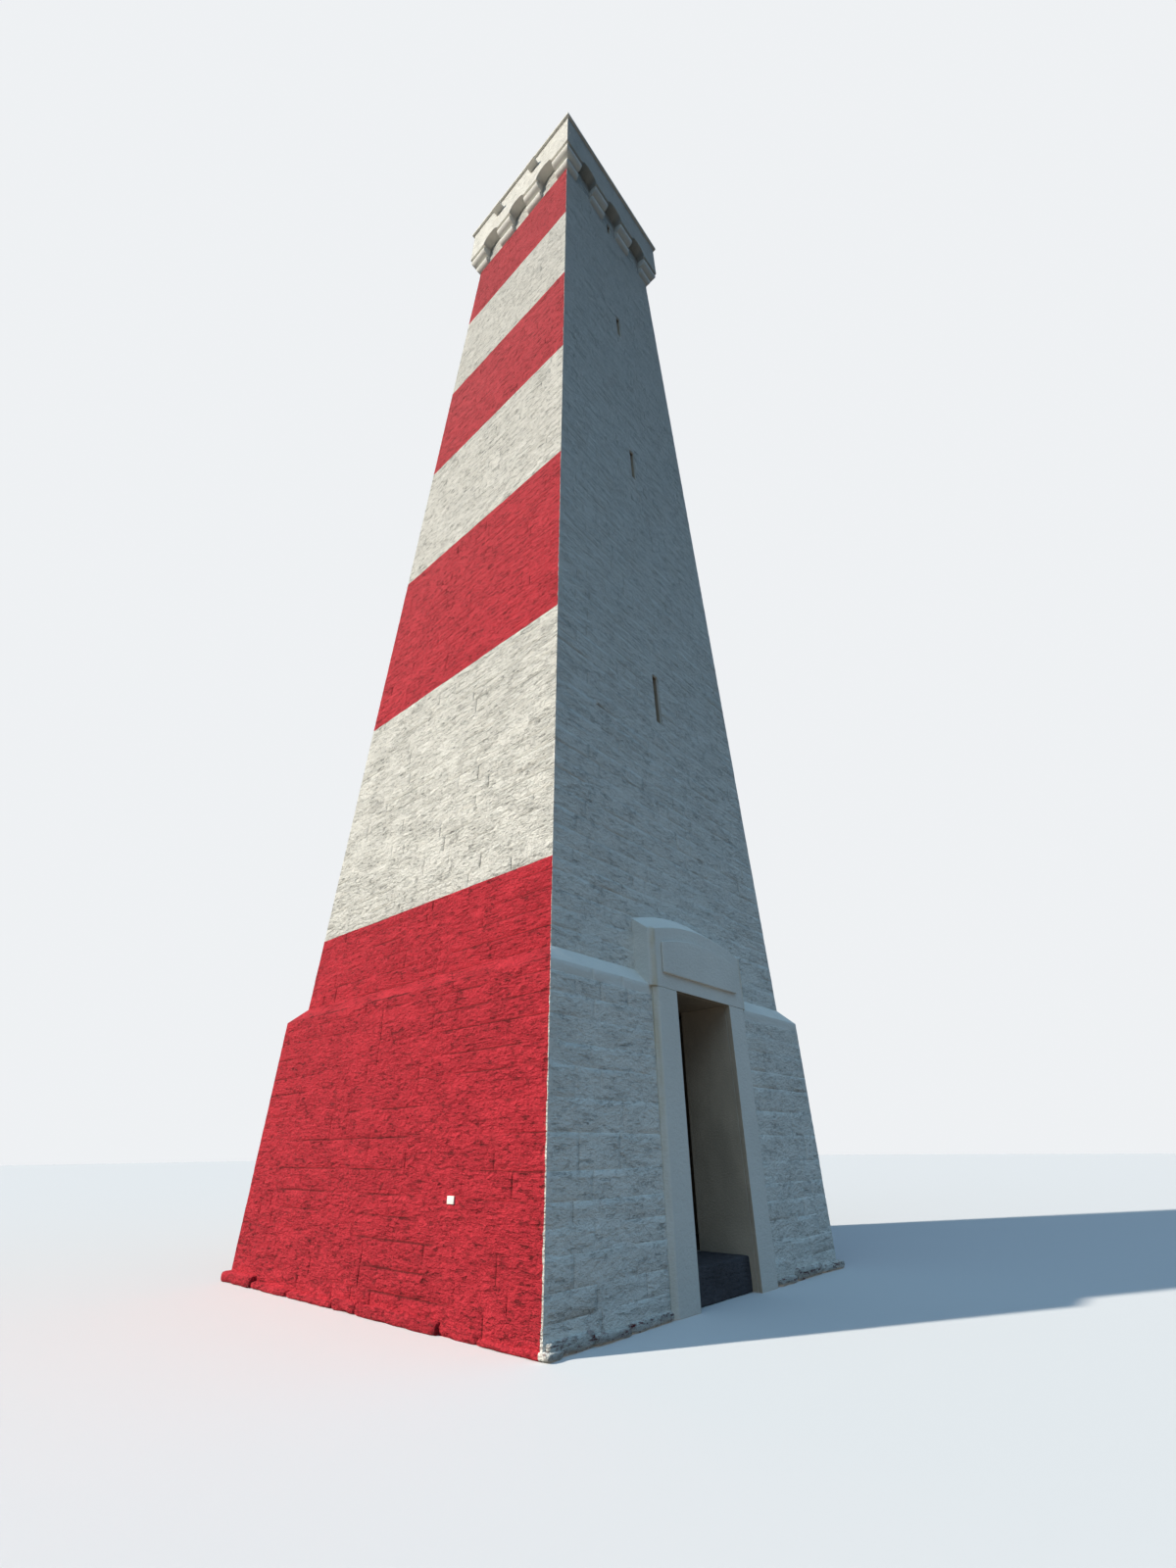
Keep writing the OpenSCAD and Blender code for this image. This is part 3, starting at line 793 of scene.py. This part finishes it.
def wall_plate():
    """The plate with its edges rounded."""
    mesh_work = bmesh.new()
    at = LEFT * (half_width(PLATE_Z) + PLATE_OFF_WALL) + Vector((0, PLATE_Y, PLATE_Z))
    bmesh.ops.create_cube(mesh_work, size=1, matrix=(
        Matrix.Translation(at) @ Matrix.Diagonal((*PLATE_SIZE, 1))))
    bmesh.ops.bevel(mesh_work, geom=mesh_work.edges[:], offset=PLATE_EDGE, affect="EDGES",
                    segments=2, profile=0.5, material=-1)
    return mesh_work


finished("wall_plate", wall_plate(), white_dressed)


# Studio: a plain pale floor before a pale background. A warm key light comes from the left
# and behind, two broad blue lights stand for the sky, and a weak warm light and a glow from
# below for what the ground throws back.

FLOOR_HALF = 120


def studio_paper(name, seen_shade, lit_shade):
    """Pale where the camera sees it, and duller where it only throws light back."""
    paper = Finish(name)
    rays = paper.node("ShaderNodeLightPath", {}).outputs
    seen = paper.maths("MAXIMUM", rays["Is Camera Ray"],
                       paper.maths("MAXIMUM", rays["Is Glossy Ray"], rays["Is Transmission Ray"]))
    shade = paper.mix(seen, (lit_shade, lit_shade * 0.97, lit_shade * 0.92, 1),
                      (seen_shade, seen_shade, seen_shade, 1))
    paper.tree.links.new(shade, paper.shader.inputs["Base Color"])
    paper.shader.inputs["Roughness"].default_value = 0.9
    return paper.material


ground_work = bmesh.new()
bmesh.ops.create_grid(ground_work, x_segments=1, y_segments=1, size=FLOOR_HALF)
ground_mesh = bpy.data.meshes.new("studio_floor")
ground_work.to_mesh(ground_mesh)
ground_work.free()
ground_mesh.materials.append(studio_paper("studio_floor", 0.72, 0.06))
ground = bpy.data.objects.new("studio_floor", ground_mesh)
bpy.context.scene.collection.objects.link(ground)
ground.visible_shadow = False
ground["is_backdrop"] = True

world = bpy.data.worlds.new("studio")
bpy.context.scene.world = world
world.use_nodes = True
sky = world.node_tree
faint = sky.nodes["Background"]
faint.inputs["Color"].default_value = (0.42, 0.68, 1.0, 1)
faint.inputs["Strength"].default_value = 0.19
seen = sky.nodes.new("ShaderNodeBackground")
seen.inputs["Color"].default_value = (0.86, 0.88, 0.90, 1)
seen.inputs["Strength"].default_value = 1.0
rays = sky.nodes.new("ShaderNodeLightPath").outputs
shown = rays["Is Camera Ray"]
for kind in ("Is Glossy Ray", "Is Transmission Ray"):
    larger = sky.nodes.new("ShaderNodeMath")
    larger.operation = "MAXIMUM"
    sky.links.new(shown, larger.inputs[0])
    sky.links.new(rays[kind], larger.inputs[1])
    shown = larger.outputs[0]
either = sky.nodes.new("ShaderNodeMixShader")
sky.links.new(shown, either.inputs[0])
sky.links.new(faint.outputs[0], either.inputs[1])
sky.links.new(seen.outputs[0], either.inputs[2])
sky.links.new(either.outputs[0], sky.nodes["World Output"].inputs["Surface"])

for name, energy, spread, colour, toward in (
        ("key_light", 5.6, 1.5, (1.0, 0.935, 0.83), (-1.0, 0.6, 0.65)),
        ("bright_sky", 0.60, 60, (0.55, 0.78, 1.0), (-0.9, -0.4, 1.2)),
        ("open_sky", 0.49, 80, (0.22, 0.60, 1.0), (0.4, -0.9, 1.3)),
        ("ground_light", 0.55, 50, (1.0, 0.95, 0.85), (-0.5, 0.2, -1.0))):
    lamp_data = bpy.data.lights.new(name, "SUN")
    lamp_data.energy = energy
    lamp_data.angle = math.radians(spread)
    lamp_data.color = colour
    lamp = bpy.data.objects.new(name, lamp_data)
    lamp.rotation_euler = Vector(toward).to_track_quat("Z", "Y").to_euler()
    bpy.context.scene.collection.objects.link(lamp)


bounce = bpy.data.lights.new("ground_glow", "AREA")
bounce.shape = "RECTANGLE"
bounce.size, bounce.size_y = 9, 6
bounce.energy = 42
bounce.color = (1.0, 0.97, 0.92)
lamp = bpy.data.objects.new("ground_glow", bounce)
lamp.location = (-2.5, -7.5, 0.05)
lamp.rotation_euler = Vector((0.0, -0.25, -1.0)).to_track_quat("Z", "Y").to_euler()
lamp.visible_camera = False
bpy.context.scene.collection.objects.link(lamp)


# Camera: it stands close to the corner between the banded side and the door side, a little
# over a metre above the ground, and looks up along the arris. The focal length is in pixels
# of a picture 1200 wide.

CAMERA_SPOT = (-6.047, -5.995, 1.153)
YAW = math.radians(48.94)
PITCH = math.radians(30.12)
ROLL = math.radians(-0.594)
SENSOR = 36
FOCAL_PIXELS = 643.3
PICTURE_WIDTH = 1200

look = Vector((math.sin(YAW) * math.cos(PITCH), math.cos(YAW) * math.cos(PITCH),
               math.sin(PITCH)))
level = Vector((math.cos(YAW), -math.sin(YAW), 0))
upright = level.cross(look)
sideways = level * math.cos(ROLL) + upright * math.sin(ROLL)
upright = upright * math.cos(ROLL) - level * math.sin(ROLL)
camera_data = bpy.data.cameras.new("camera")
camera_data.sensor_fit = "HORIZONTAL"
camera_data.sensor_width = SENSOR
camera_data.lens = SENSOR * FOCAL_PIXELS / PICTURE_WIDTH
camera_data.clip_end = 500
camera = bpy.data.objects.new("camera", camera_data)
camera.matrix_world = Matrix.Translation(CAMERA_SPOT) @ Matrix(
    (sideways, upright, -look)).transposed().to_4x4()
bpy.context.scene.collection.objects.link(camera)
bpy.context.scene.camera = camera
bpy.context.scene.view_settings.view_transform = "Standard"

low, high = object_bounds()
